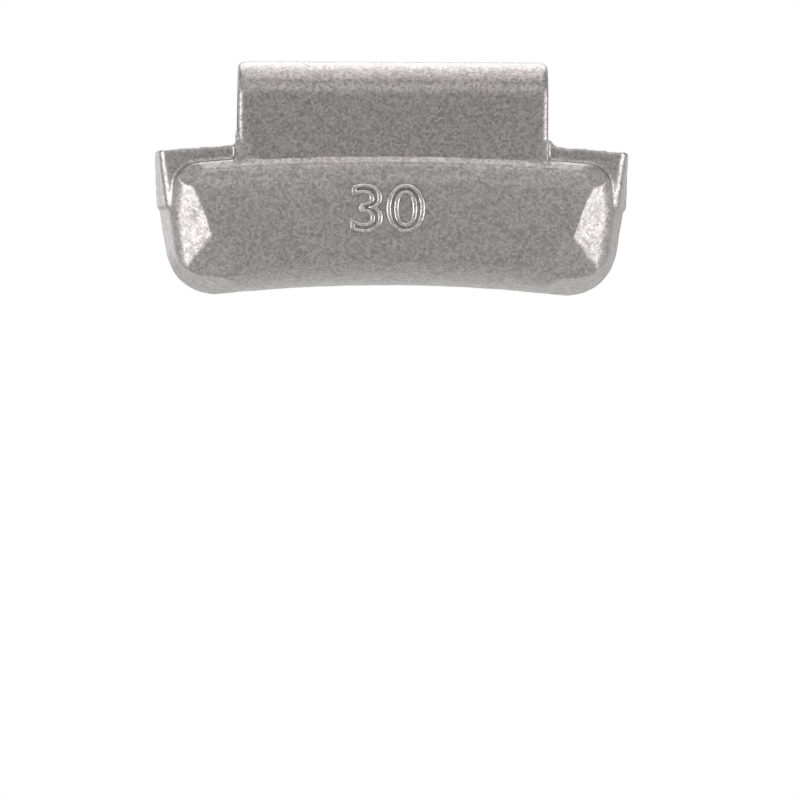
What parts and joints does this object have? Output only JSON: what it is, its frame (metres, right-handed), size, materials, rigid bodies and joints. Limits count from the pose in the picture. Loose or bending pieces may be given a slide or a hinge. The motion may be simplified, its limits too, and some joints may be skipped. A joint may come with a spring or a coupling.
{
  "type": "clip-on wheel balance weight",
  "caption": "Curved cast balance weight for a wheel rim, with raised ears at its ends and a wide spring steel clip that hooks over the rim's edge.",
  "frame": {"origin": "middle of the flat rear face that sits on the wheel rim", "axes": "+Y out of the rear face, towards the rim; +X along the bar; +Z away from the wheel's axle, up the clip"},
  "size_m": [0.039, 0.0113, 0.0191],
  "materials": {
    "cast_coat": "silver-grey coat with fine metallic flake over a sandy casting",
    "clip_coat": "the same silver-grey coat over smooth spring steel"
  },
  "bodies": {
    "root": {"cast_weight": "cast_coat", "spring_clip": "clip_coat"}
  },
  "joints": []
}
